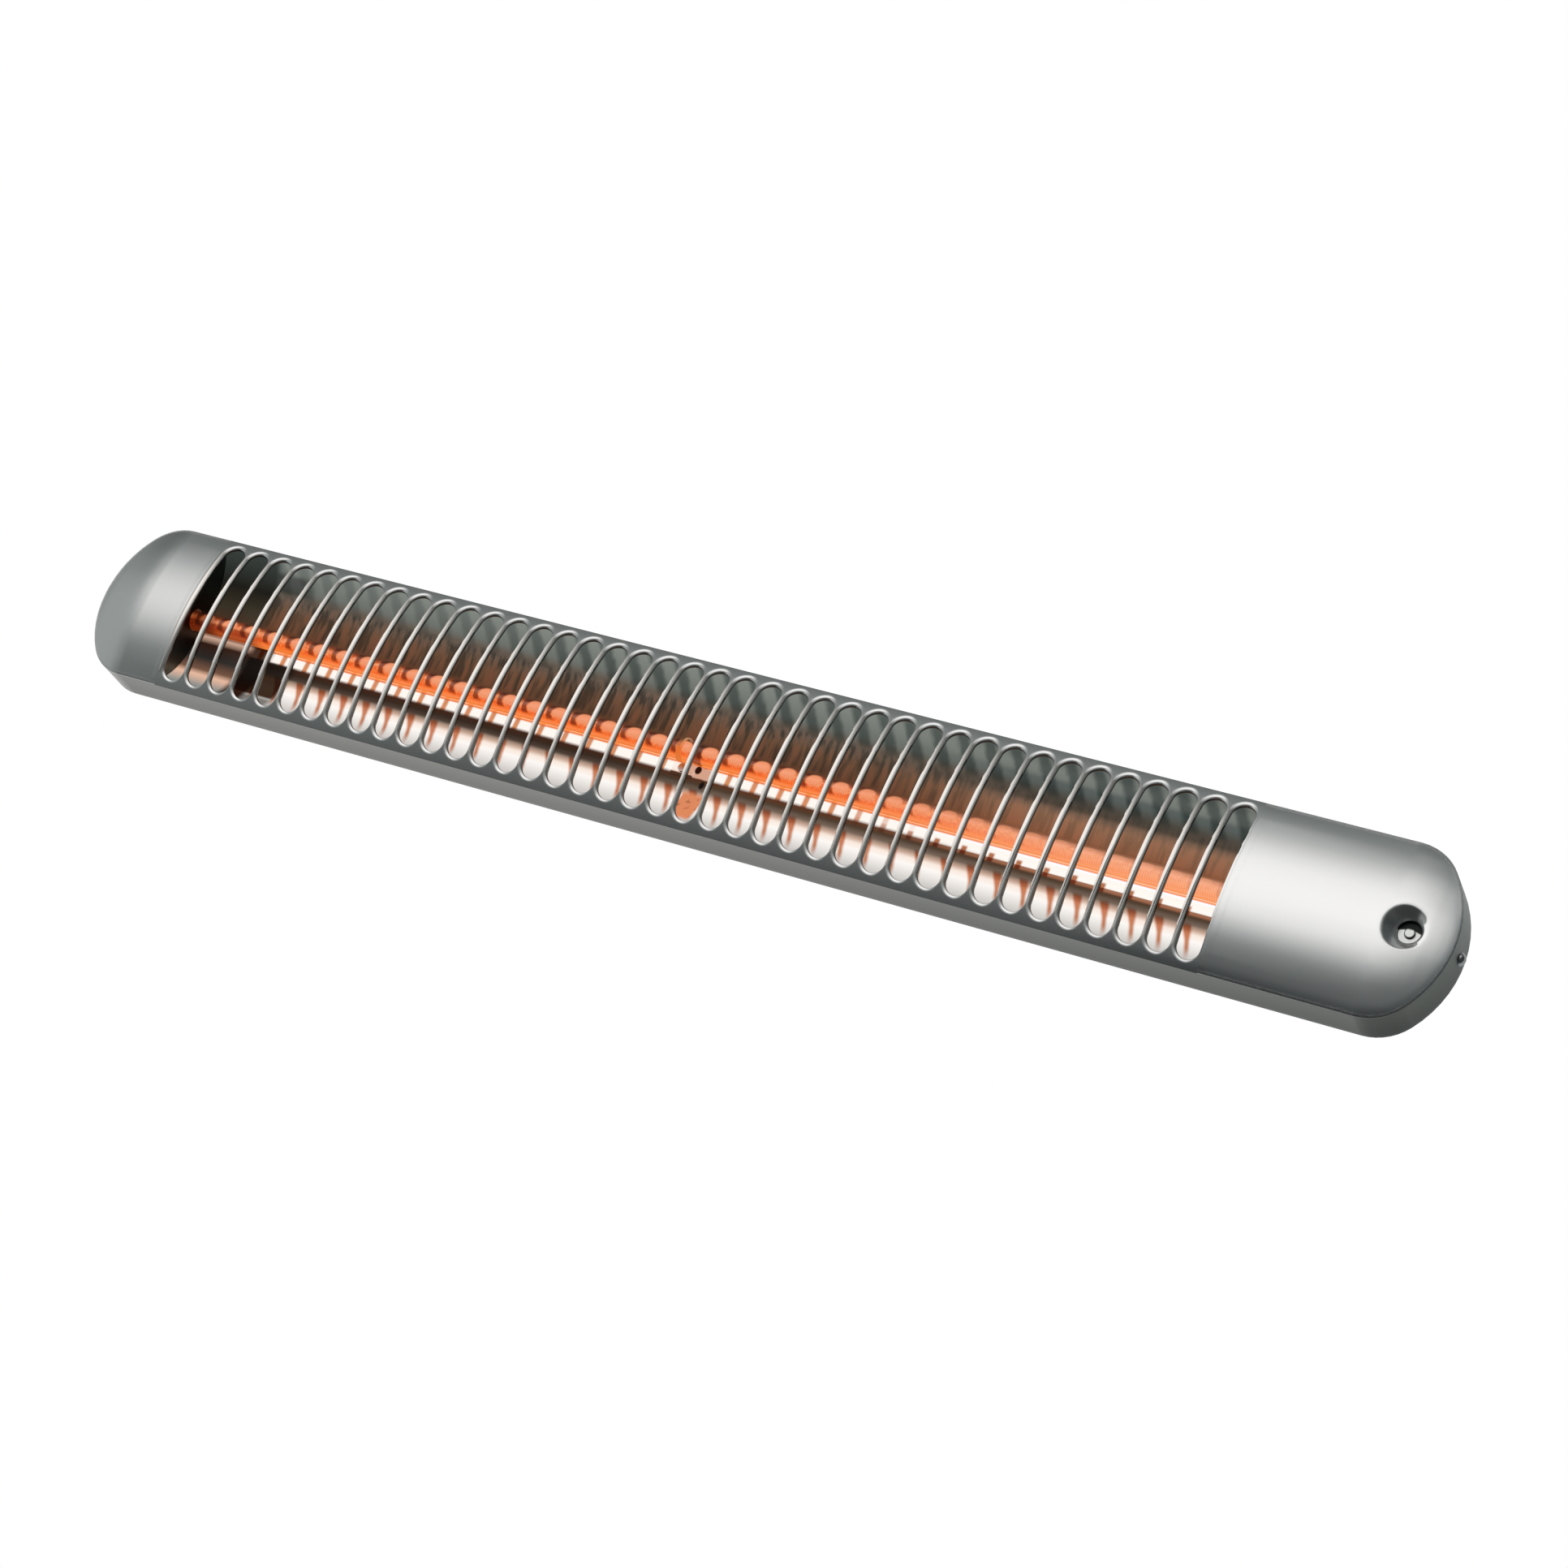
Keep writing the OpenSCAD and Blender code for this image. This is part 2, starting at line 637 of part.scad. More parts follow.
// Sheet cradle that holds a cap by its groove
module cap_holder() {
    half = cap_d / 2 + holder_wall;
    difference() {
        union() {
            run(holder_at - holder_t / 2, holder_at + holder_t / 2) difference() {
                translate([tray_t, -half]) square([axis_depth + holder_wall - tray_t, 2 * half]);
                translate([axis_depth, 0]) circle(cap_d / 2 - cap_groove + cap_fit, $fn = part_fn);
                translate([axis_depth, -cap_d / 2 + cap_groove - cap_fit])
                    square([cap_d, cap_d - 2 * cap_groove + 2 * cap_fit]);
            }
            slab([holder_at + holder_t / 2, holder_at + holder_t / 2 + holder_foot], [-half, half],
                [tray_t, tray_t + holder_t]);
        }
        screw_hole(holder_screw_x(), holder_screw_z(), tray_t + holder_t, holder_t);
        screw_hole(holder_screw_x(), -holder_screw_z(), tray_t + holder_t, holder_t);
    }
}

function holder_screw_x() = holder_at + (holder_t + holder_foot) / 2;
function holder_screw_z() = cap_d / 2 + holder_wall - screw_head_d / 2;

module cap_holder_left() {
    color([0.66, 0.67, 0.68]) translate([plate_left, 0, 0]) mirror([1, 0, 0]) cap_holder();
}

module cap_holder_right() {
    color([0.66, 0.67, 0.68]) translate([plate_right, 0, 0]) cap_holder();
}

// Strap that carries the middle of the tube, on a foot screwed to the reflector's floor
module tube_clip() {
    inner = tube_d / 2 + clip_gap;
    color([0.7, 0.68, 0.64]) difference() {
        union() {
            run(reflector_x - clip_w / 2, reflector_x + clip_w / 2) difference() {
                union() {
                    translate([axis_depth, 0]) circle(inner + clip_t, $fn = part_fn);
                    translate([floor_depth, -clip_w]) square([axis_depth - floor_depth, 2 * clip_w]);
                }
                translate([axis_depth, 0]) circle(inner, $fn = part_fn);
            }
            slab([reflector_x - clip_foot_len / 2, reflector_x + clip_foot_len / 2],
                [-floor_w / 2, clip_foot_h - floor_w / 2], [floor_depth, floor_depth + clip_t]);
        }
        screw_hole(reflector_x, clip_screw_z(), floor_depth + clip_t, clip_t);
    }
}

// Hat stands between the tray and the reflector's floor
module reflector_stands() {
    back = floor_depth - reflector_t;
    half = stand_top_h / 2;
    color([0.66, 0.67, 0.68]) for (side = [-1, 1]) translate([reflector_x + side * stand_span / 2, 0, 0])
        run(-stand_len / 2, stand_len / 2) {
            translate([back - end_plate_t, -half]) square([end_plate_t, stand_top_h]);
            for (m = [0, 1]) mirror([0, m]) {
                translate([tray_t, half - end_plate_t]) square([back - tray_t, end_plate_t]);
                translate([tray_t, half - end_plate_t]) square([end_plate_t, stand_foot_h]);
            }
        }
}

// Button with a raised boss, whose stem slides in the switch
module push_button() {
    color([0.8, 0.8, 0.8]) {
        post(recess_x, 0, button_back, button_face, recess_hole_d / 2 - button_gap);
        post(recess_x, 0, button_face, button_face + boss_h, boss_d / 2);
        post(recess_x, 0, stem_end, button_back, stem_d / 2);
    }
}

module switch_body() {
    color([0.12, 0.12, 0.13]) difference() {
        union() {
            slab([switch_left, switch_left + switch_len], [-switch_h / 2, switch_h / 2], [switch_back, switch_front]);
            post(recess_x, 0, switch_front, neck_front, neck_d / 2);
        }
        post(recess_x, 0, stem_bore_end, neck_front + over, stem_d / 2 + stem_gap);
    }
}

// Plate that carries the switch on the tray
module switch_bracket() {
    color([0.66, 0.67, 0.68]) difference() {
        slab([switch_left - bracket_wing, switch_left + switch_len + bracket_wing], [-switch_h / 2, switch_h / 2],
            [tray_t, switch_back]);
        for (side = [-1, 1]) screw_hole(bracket_screw_x(side), 0, switch_back, bracket_t);
    }
}

function bracket_screw_x(side) = recess_x + side * (switch_len + bracket_wing) / 2;

// Blades on the switch and on the cut-out, to which the leads are pushed
module spade_tabs() {
    color([0.78, 0.66, 0.35]) for (side = [-1, 1]) {
        slab([switch_left - tab_len, switch_left], [side * tab_z - tab_w / 2, side * tab_z + tab_w / 2],
            [switch_tab_depth - tab_t / 2, switch_tab_depth + tab_t / 2]);
        slab([cutout_front, cutout_front + tab_len / 2],
            [cutout_rise + side * tab_w - tab_t / 2, cutout_rise + side * tab_w + tab_t / 2],
            [axis_depth - tab_w / 2, axis_depth + tab_w / 2]);
    }
}

// Bimetal cut-out on the outside of the right-hand end plate
module thermal_cutout() {
    color([0.16, 0.13, 0.11]) {
        bar(plate_right + end_plate_t, plate_right + 2 * end_plate_t, axis_depth, cutout_rise, cutout_d / 2);
        bar(plate_right + 2 * end_plate_t, cutout_front, axis_depth, cutout_rise, cutout_d / 2 - end_plate_t);
    }
}

module terminal_block() {
    half = block_h / 2;
    color([0.9, 0.89, 0.85]) difference() {
        slab([block_x - block_len / 2, block_x + block_len / 2], [block_rise - half, block_rise + half],
            [tray_t, block_front]);
        for (i = [1 : pole_count - 1]) let (x = block_x - block_len / 2 + i * pole_pitch)
            slab([x - pole_groove / 2, x + pole_groove / 2], [block_rise - half - over, block_rise + half + over],
                [tray_t + block_t / 2, block_front + over]);
        at_terminals() post(0, 0, block_front - terminal_screw_d, block_front + over, terminal_screw_d / 2 + screw_gap);
    }
}

// The places of the terminal screws, two to a pole
module at_terminals() {
    for (i = [0 : pole_count - 1], side = [-1, 1])
        translate([block_x + (i - (pole_count - 1) / 2) * pole_pitch, 0, block_rise + side * block_h / 4]) children();
}

module terminal_screws() {
    color([0.78, 0.66, 0.35]) at_terminals()
        post(0, 0, block_front - terminal_screw_d, block_front - screw_gap, terminal_screw_d / 2);
}

// Saddle that holds the mains cable down beside its entry
module cord_clamp() {
    color([0.12, 0.12, 0.13]) difference() {
        run(clamp_x - clamp_len / 2, clamp_x + clamp_len / 2) difference() {
            translate([tray_t, -cable_drop - clamp_h / 2]) square([clamp_t, clamp_h]);
            translate([tray_t + clamp_t / 4, -cable_drop]) circle(clamp_cable_d / 2, $fn = part_fn);
        }
        for (side = [-1, 1]) screw_hole(clamp_x, clamp_screw_z(side), tray_t + clamp_t, clamp_t);
    }
}

function clamp_screw_z(side) = -cable_drop + side * (clamp_h - screw_head_d - over) / 2;

module cable_grommet() {
    color([0.1, 0.1, 0.1]) difference() {
        union() {
            post(cable_x, -cable_drop, 0, tray_t, cable_hole_d / 2);
            post(cable_x, -cable_drop, tray_t, tray_t + grommet_flange_t, grommet_flange_d / 2);
        }
        post(cable_x, -cable_drop, -over, tray_t + grommet_flange_t + over, grommet_bore / 2);
    }
}

earth_x = plate_right + cap_end;
earth_z = -plate_foot_h / 2 - 2 * earth_nut_d / 2;

module earth_stud() {
    color([0.78, 0.66, 0.35]) {
        post(earth_x, earth_z, tray_t, tray_t + earth_h, earth_d / 2);
        difference() {
            post(earth_x, earth_z, tray_t, tray_t + earth_nut_h, earth_nut_d / 2, 6);
            post(earth_x, earth_z, tray_t - over, tray_t + earth_nut_h + over, earth_d / 2 - screw_gap);
        }
    }
}

// A path whose inner corners are rounded, each by four points of a curve that starts lead_bend away
bend_share = [0, 0.33, 0.67, 1];
function rounded(pts) = concat([pts[0]],
    [for (i = [1 : len(pts) - 2]) let (
        reach = min(lead_bend, norm(pts[i - 1] - pts[i]) / 2, norm(pts[i + 1] - pts[i]) / 2),
        a = pts[i] + reach * unit(pts[i - 1] - pts[i]), b = pts[i] + reach * unit(pts[i + 1] - pts[i]))
        for (s = bend_share) (1 - s) * (1 - s) * a + 2 * s * (1 - s) * pts[i] + s * s * b],
    [pts[len(pts) - 1]]);

// An insulated lead along the given corners, which are written as length, depth and height
lead_side = [0.35, 0.45, 0.82];
module lead(corners) {
    path = rounded([for (c = corners) [c[0], -c[1], c[2]]]);
    last = len(path) - 1;
    mesh = swept([for (i = [0 : last])
        ring(path[i], unit(path[min(i + 1, last)] - path[max(i - 1, 0)]), lead_side, lead_d / 2, 8)]);
    color([0.85, 0.84, 0.8]) polyhedron(mesh[0], mesh[1]);
}

// Return lead from the left-hand pin, behind the upper wing of the reflector, to the terminal block
pin_left_tip = plate_left - pin_end;
block_top = block_rise + block_h / 2;
module lead_return() {
    lead([[pin_left_tip, axis_depth, 0], [pin_left_tip - lead_bend, axis_depth, 0],
        [pin_left_tip - lead_bend, lead_depth, lead_rise], [block_x - pole_pitch, lead_depth, lead_rise],
        [block_x - pole_pitch, lead_depth, block_top]]);
}

// Lead from the right-hand pin to the cut-out
pin_right_tip = plate_right + pin_end;
cutout_tab = cutout_front + tab_len / 2;
module lead_element() {
    lead([[pin_right_tip, axis_depth, 0], [pin_right_tip + lead_bend, axis_depth, 0],
        [pin_right_tip + lead_bend, axis_depth, cutout_rise - tab_w], [cutout_tab, axis_depth, cutout_rise - tab_w]]);
}

// Lead from the cut-out over the terminal block to the switch
over_block = block_front + lead_d;
switch_tab = switch_left - tab_len;
module lead_switched() {
    lead([[cutout_tab, axis_depth, cutout_rise + tab_w], [cutout_tab + lead_bend, axis_depth, cutout_rise + tab_w],
        [pin_right_tip + lead_bend, over_block, cutout_rise + tab_w],
        [block_x, over_block, cutout_rise + tab_w], [block_x, over_block, block_rise - block_h / 2 - lead_bend],
        [switch_tab - lead_bend, switch_tab_depth, tab_z], [switch_tab, switch_tab_depth, tab_z]]);
}

// Lead from the switch to the live pole of the terminal block
module lead_live() {
    lead([[switch_tab, switch_tab_depth, -tab_z], [switch_tab - lead_bend, switch_tab_depth, -tab_z],
        [block_x, switch_tab_depth, 0], [block_x, switch_tab_depth, block_rise - block_h / 2]]);
}

// Domed screw that holds the cover to the end of the tray
module cover_screw() {
    dome_r = (cover_head_d * cover_head_d / 4 + cover_head_h * cover_head_h) / (2 * cover_head_h);
    translate([cover_len / 2, -cover_screw_depth, 0]) rotate([0, 90, 0]) rotate_extrude($fn = part_fn)
        intersection() {
            translate([0, cover_head_h - dome_r]) circle(dome_r, $fn = part_fn);
            square([cover_head_d, cover_head_h + over]);
        }
    bar(cover_len / 2 - tray_inset - tray_t - cover_shank_end, cover_len / 2, cover_screw_depth, 0, cover_shank_d / 2);
}

module cover_screw_left() {
    color([0.75, 0.75, 0.76]) mirror([1, 0, 0]) cover_screw();
}

module cover_screw_right() {
    color([0.75, 0.75, 0.76]) cover_screw();
}

// Small screws of the end plates, cap holders, switch plate, cord clamp and tube clip
module bracket_screws() {
    color([0.75, 0.75, 0.76]) {
        for (side = [0, 1], z = [-1, 1]) translate([side == 0 ? plate_left : plate_right, 0, 0])
            mirror([1 - side, 0, 0]) {
                small_screw(end_plate_t + plate_foot_len / 2, z * foot_screw_z, tray_t + end_plate_t, end_plate_t);
                small_screw(holder_screw_x(), z * holder_screw_z(), tray_t + holder_t, holder_t);
            }
        for (side = [-1, 1]) {
            small_screw(bracket_screw_x(side), 0, switch_back, bracket_t);
            small_screw(clamp_x, clamp_screw_z(side), tray_t + clamp_t, clamp_t);
        }
        small_screw(reflector_x, clip_screw_z(), floor_depth + clip_t, clip_t + reflector_t);
    }
}

front_cover();
back_tray();
reflector();
reflector_end_left();
reflector_end_right();
quartz_tube();
heating_coil();
terminal_pin_left();
terminal_pin_right();
ceramic_cap_left();
ceramic_cap_right();
cap_holder_left();
cap_holder_right();
tube_clip();
reflector_stands();
push_button();
switch_body();
switch_bracket();
spade_tabs();
thermal_cutout();
terminal_block();
terminal_screws();
cord_clamp();
cable_grommet();
earth_stud();
lead_return();
lead_element();
lead_switched();
lead_live();
cover_screw_left();
cover_screw_right();
bracket_screws();
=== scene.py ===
# Electric bar heater: a slotted, satin silver cover over a glowing quartz element in a bright trough.
# The wall is the plane y = 0 behind it, x runs along it towards the push button, and z points up.
from math import tau

import bmesh
import bpy
from mathutils import Matrix, Vector


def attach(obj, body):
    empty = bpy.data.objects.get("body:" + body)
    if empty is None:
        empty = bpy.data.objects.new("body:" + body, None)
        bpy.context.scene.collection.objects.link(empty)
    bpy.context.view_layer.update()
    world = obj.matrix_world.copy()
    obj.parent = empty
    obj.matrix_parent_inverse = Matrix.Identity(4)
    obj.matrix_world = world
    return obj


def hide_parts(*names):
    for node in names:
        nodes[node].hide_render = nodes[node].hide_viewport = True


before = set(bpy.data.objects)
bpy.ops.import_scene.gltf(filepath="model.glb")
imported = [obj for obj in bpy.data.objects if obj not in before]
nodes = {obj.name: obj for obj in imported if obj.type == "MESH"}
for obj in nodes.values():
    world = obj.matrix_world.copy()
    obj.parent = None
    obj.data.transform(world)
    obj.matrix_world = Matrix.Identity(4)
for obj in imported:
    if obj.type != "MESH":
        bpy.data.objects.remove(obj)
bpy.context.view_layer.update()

# The view of the photograph, from below the heater and beyond its button end, rolled so that the
# heater falls to the right. The picture is square and the lens is centred.
right, down, ahead = (0.8648, 0.3044, 0.3994), (0.2310, 0.4650, -0.8546), (-0.4459, 0.8313, 0.3318)
view = bpy.data.objects.new("photo_view", bpy.data.cameras.new("photo_view"))
view.data.sensor_width = 36
view.data.lens = 89.24
turn = Matrix((right, [-v for v in down], [-v for v in ahead])).transposed().to_4x4()
view.matrix_world = Matrix.Translation((0.94345, -1.70393, -0.67937)) @ turn
bpy.context.collection.objects.link(view)
bpy.context.scene.camera = view
bpy.context.scene.view_settings.view_transform = "Standard"


# The studio: a pale floor well below the heater, one wide soft light in front of it and a weak one
# from the right. The room is white where the camera sees it, and dims away from the light in metal.
# The helpers that build it build every finish too.
class Value:
    """One socket of a material. Sums, products and comparisons of it add Math nodes."""

    def __init__(self, finish, socket):
        self.finish, self.socket = finish, socket

    def maths(self, operation, *others):
        return self.finish.node("ShaderNodeMath", {"operation": operation}, self, *others)

    def __add__(self, other):
        return self.maths("ADD", other)

    def __sub__(self, other):
        return self.maths("SUBTRACT", other)

    def __rsub__(self, other):
        return self.finish.node("ShaderNodeMath", {"operation": "SUBTRACT"}, other, self)

    def __mul__(self, other):
        return self.maths("MULTIPLY", other)

    def __truediv__(self, other):
        return self.maths("DIVIDE", other)

    def __abs__(self):
        return self.maths("ABSOLUTE")

    __radd__, __rmul__ = __add__, __mul__

    def within(self, low, high):
        """The value, held between low and high."""
        return self.maths("MAXIMUM", low).maths("MINIMUM", high)

    def diagonal(self, other):
        """The length of the diagonal over two sides."""
        return (self * self + other * other).maths("SQRT")

    def repeat(self, pitch):
        """The distance to the nearest whole multiple of pitch, negative before it."""
        return (self / pitch + 0.5).maths("FRACT") * pitch - pitch / 2

    def ramp(self, low, high):
        """0 below low and 1 above high, with a soft step between; low may be the larger."""
        kind = {"interpolation_type": "SMOOTHSTEP"}
        if low < high:
            return self.finish.node("ShaderNodeMapRange", kind, self, low, high)
        return self.finish.node("ShaderNodeMapRange", kind, self, high, low, 1.0, 0.0)

    def band(self, low, high, soft):
        """1 between low and high, with soft edges."""
        return self.ramp(low - soft, low + soft) * self.ramp(high + soft, high - soft)


class Finish:
    """A node tree built from values: node() adds one node, sets it and feeds its sockets."""

    def __init__(self, tree, shader):
        self.tree, self.shader = tree, shader

    def feed(self, socket, value):
        if isinstance(value, Value):
            self.tree.links.new(value.socket, socket)
        elif isinstance(value, tuple) and len(value) == 3 and len(socket.default_value) == 4:
            socket.default_value = (*value, 1)
        else:
            socket.default_value = value

    def node(self, kind, settings, *inputs, out=0, **named):
        made = self.tree.nodes.new(kind)
        stops = settings.pop("stops", None) if settings else None
        for name, setting in (settings or {}).items():
            setattr(made, name, setting)
        for i, (place, colour) in enumerate(stops or ()):
            stop = made.color_ramp.elements[i] if i < 2 else made.color_ramp.elements.new(place)
            stop.position, stop.color = place, (*colour, 1)
        used = [socket for socket in made.inputs if socket.enabled]
        for socket, value in zip(used, inputs):
            self.feed(socket, value)
        for name, value in named.items():
            self.feed(next(socket for socket in used if socket.name == name.replace("_", " ")), value)
        if not made.outputs:
            return None
        if isinstance(out, int):
            return Value(self, made.outputs[out])
        return Value(self, next(socket for socket in made.outputs if socket.enabled and socket.name == out))

    def blend(self, amount, first, second):
        """first where amount is 0 and second where it is 1."""
        return self.node("ShaderNodeMix", {"data_type": "RGBA"}, amount, first, second, out="Result")

    def place(self):
        """Object coordinates in millimetres: along the heater, in front of the wall, and up."""
        here = self.node("ShaderNodeTexCoord", {}, out="Object")
        parts = self.node("ShaderNodeSeparateXYZ", {}, here)
        x, y, z = (Value(self, s) for s in parts.socket.node.outputs)
        return x * 1000, y * -1000, z * 1000

    def noise(self, scale, detail=2.0, stretch=(1, 1, 1)):
        """Noise from 0 to 1 with scale cells to the millimetre, drawn out where stretch is small."""
        here = self.node("ShaderNodeTexCoord", {}, out="Object")
        wide = self.node("ShaderNodeMapping", {}, here, Scale=[1000 * scale * s for s in stretch])
        return self.node("ShaderNodeTexNoise", {}, wide, Scale=1.0, Detail=detail)

    def bump(self, height, distance):
        """A normal raised by height, 0 to 1, times distance in millimetres."""
        return self.node("ShaderNodeBump", {}, Strength=1.0, Distance=distance / 1000, Height=height)

    def shades(self, value, *stops):
        """A colour for value, in millimetres, from stops given as place and colour."""
        low, high = stops[0][0], stops[-1][0]
        spread = [((place - low) / (high - low), colour) for place, colour in stops]
        return self.node("ShaderNodeValToRGB", {"stops": spread}, (value - low) / (high - low))

    def shade(self, amount, colour, darker):
        """colour, times darker where amount is 1."""
        return self.node("ShaderNodeMix", {"data_type": "RGBA", "blend_type": "MULTIPLY"}, amount, colour,
                         (*darker, 1), out="Result")


def finish(name, **shader):
    """A new material on the standard shader, with its plain values set."""
    material = bpy.data.materials.new(name)
    material.use_nodes = True
    made = Finish(material.node_tree, material.node_tree.nodes["Principled BSDF"])
    made.material = material
    wear(made, **shader)
    return made


def wear(made, **shader):
    """Feeds values or links to sockets of the standard shader."""
    for name, value in shader.items():
        made.feed(made.shader.inputs[name.replace("_", " ")], value)


def dress(made, *names):
    """Puts a finish on CAD nodes or new pieces."""
    for name in names:
        piece = nodes[name] if isinstance(name, str) else name
        piece.data.materials.clear()
        piece.data.materials.append(made.material)


room = bpy.data.worlds.new("studio")
room.use_nodes = True
bpy.context.scene.world = room
air = Finish(room.node_tree, None)
air.tree.nodes.clear()
toward = air.node("ShaderNodeTexCoord", {}, out="Generated")
parts = air.node("ShaderNodeSeparateXYZ", {}, toward)
across, back, up = (Value(air, s) for s in parts.socket.node.outputs)
rise = up - 0.376
lean = across + 0.304 - rise * 0.241
lean = lean.maths("MAXIMUM", 0.0) / 1.154 + lean.maths("MINIMUM", 0.0) / 0.533
far = (lean * lean + rise * rise * 3.88).maths("SQRT")
front_light = far.ramp(1.0, 0.277) * 1.044 * back.ramp(0.15, -0.15)
left_light = across.ramp(-0.564, -0.724) * up.ramp(0.661, 0.261) * 0.251 * back.ramp(0.15, -0.15)
wall_light = (across.ramp(-0.15, -0.50) * 0.42 + 0.30) * back.ramp(-0.05, 0.35)
dim = across.ramp(0.95, 0.45) * up.ramp(-0.45, -0.12) * 0.095 + 0.045
lights = front_light.maths("MAXIMUM", left_light).maths("MAXIMUM", wall_light)
glow = dim + lights
tint = air.blend(lights.ramp(0.05, 0.75), (0.93, 1.01, 1.0, 1), (1.008, 1.0, 0.99, 1))
rays = air.node("ShaderNodeLightPath", {})
seen, glossy, through = (Value(air, rays.socket.node.outputs[n])
                         for n in ("Is Camera Ray", "Is Glossy Ray", "Is Transmission Ray"))
level = 0.55 * (1 - glossy) + glow * glossy
open_view = seen.maths("MAXIMUM", through)
level = level + (1 - level) * open_view
tint = air.blend(open_view, tint, (1, 1, 1, 1))
sky = air.node("ShaderNodeBackground", {}, tint, level)
air.node("ShaderNodeOutputWorld", {}, sky)

lamp_distance = 2.4
for name, way, side, power in (("key_light", Vector((-0.30, -0.85, 0.42)), 1.6, 26),
                               ("fill_light", Vector((0.8, -0.5, -0.1)), 1.8, 6)):
    lamp = bpy.data.objects.new(name, bpy.data.lights.new(name, "AREA"))
    lamp.data.shape, lamp.data.size, lamp.data.energy = "DISK", side, power
    lamp.location = way.normalized() * lamp_distance
    lamp.rotation_euler = way.to_track_quat("Z", "Y").to_euler()
    lamp.visible_glossy = False
    bpy.context.collection.objects.link(lamp)

floor_reach, floor_height = 3.0, -1.15
ground = bmesh.new()
bmesh.ops.create_grid(ground, x_segments=1, y_segments=1, size=floor_reach)
bmesh.ops.translate(ground, verts=ground.verts, vec=(0, 0, floor_height))
floor = bpy.data.objects.new("studio_floor", bpy.data.meshes.new("studio_floor"))
floor.visible_glossy = False
ground.to_mesh(floor.data)
bpy.context.collection.objects.link(floor)
dress(finish("pale_floor", Base_Color=(0.9, 0.9, 0.9), Roughness=0.7), floor)

# The wall tray: folded 1 mm steel with a light grey powder coat, screwed to the wall through four
# holes. It is seen only from behind.
tray_coat = finish("grey_powder_coat", Base_Color=(0.56, 0.57, 0.57), Roughness=0.5)
grain = tray_coat.noise(1.6)
wear(tray_coat, Normal=tray_coat.bump(grain, 0.03))
dress(tray_coat, "back_tray")

# The rubber grommet in the cable hole and the moulded saddle that holds the cable beside it. Both
# are black, with a faint mould texture.
moulded = finish("black_moulding", Base_Color=(0.02, 0.02, 0.022), Roughness=0.55)
wear(moulded, Normal=moulded.bump(moulded.noise(3.0), 0.02))
dress(moulded, "cable_grommet", "cord_clamp")

# Galvanised sheet parts: the hat stands under the trough, the cap holders and the switch plate.
# The zinc shows faint crystals, each a little lighter or darker.
zinc = finish("galvanised_sheet", Metallic=0.85, Roughness=0.42)
here = zinc.node("ShaderNodeTexCoord", {}, out="Object")
spangle = zinc.node("ShaderNodeTexVoronoi", {}, here, Scale=420.0, out="Color")
wear(zinc, Base_Color=zinc.blend(0.16, (0.5, 0.51, 0.52, 1), spangle))
dress(zinc, "reflector_stands", "cap_holder_left", "cap_holder_right", "switch_bracket")

# The trough: bright rolled aluminium behind the element, kept near black with its reflections painted on as
# glow:
# the hot tube as a white band on its flat floor, the tube's light on the lower wing, the brown cover inside
# above.
trough = finish("trough_painted_reflections", Metallic=1.0, Roughness=0.3)
x, depth, z = trough.place()
lower_wing = ((-44.5, (.22, .22, .22)), (-41, (.49, .50, .49)), (-36, (.66, .65, .62)),
              (-27, (.98, .94, .90)), (-23, (.95, .81, .72)), (-20.5, (.59, .40, .31)))
shadow = (-17.5, (.17, .12, .09)), (-14, (.066, .041, .024)), (-11, (.10, .027, .008))
white_band = (-9.2, (1, .94, .88)), (-4.7, (1, .94, .89))
tube_glow = (-4.1, (.86, .24, .07)), (-2, (.80, .16, .03)), (1, (.30, .07, .02))
upper_wing = ((8, (.115, .041, .017)), (20, (.13, .067, .038)), (30, (.125, .100, .078)),
              (34, (.152, .163, .147)), (44.5, (.22, .24, .22)))
painted_light = trough.shades(z, *lower_wing, *shadow, *white_band, *tube_glow, *upper_wing)
# Painted shade: the dark strip under the tube is darker away from the button.
painted_light = trough.shade(x.ramp(10, -90) * z.band(-17.5, -10.2, 1.2), painted_light, (0.42, 0.38, 0.38))

# Towards the button more light is painted on the trough: a taller white band, a warmer floor, a darker top.
painted_lit_end = x.ramp(70, 190)
painted_light = trough.shade(painted_lit_end * z.ramp(-38, -43), painted_light, (0.77, 0.76, 0.77))
painted_light = trough.blend(painted_lit_end * z.band(-12.6, -10.4, 0.9), painted_light, (0.34, 0.14, 0.075, 1))
painted_light = trough.blend(painted_lit_end * z.band(-10.6, -8, 0.4), painted_light, (1, 0.95, 0.90, 1))
painted_light = trough.shade(painted_lit_end * z.band(-4.4, 6, 1.5), painted_light, (1.08, 1.5, 2.2))
painted_light = trough.shade(painted_lit_end * z.band(8.5, 23, 3.5), painted_light, (2.15, 2.05, 2.05))
painted_light = trough.shade(painted_lit_end * z.band(25, 37, 1.5), painted_light, (0.60, 0.66, 0.68))
painted_light = trough.shade(painted_lit_end * z.ramp(40, 44), painted_light, (0.72, 0.72, 0.72))

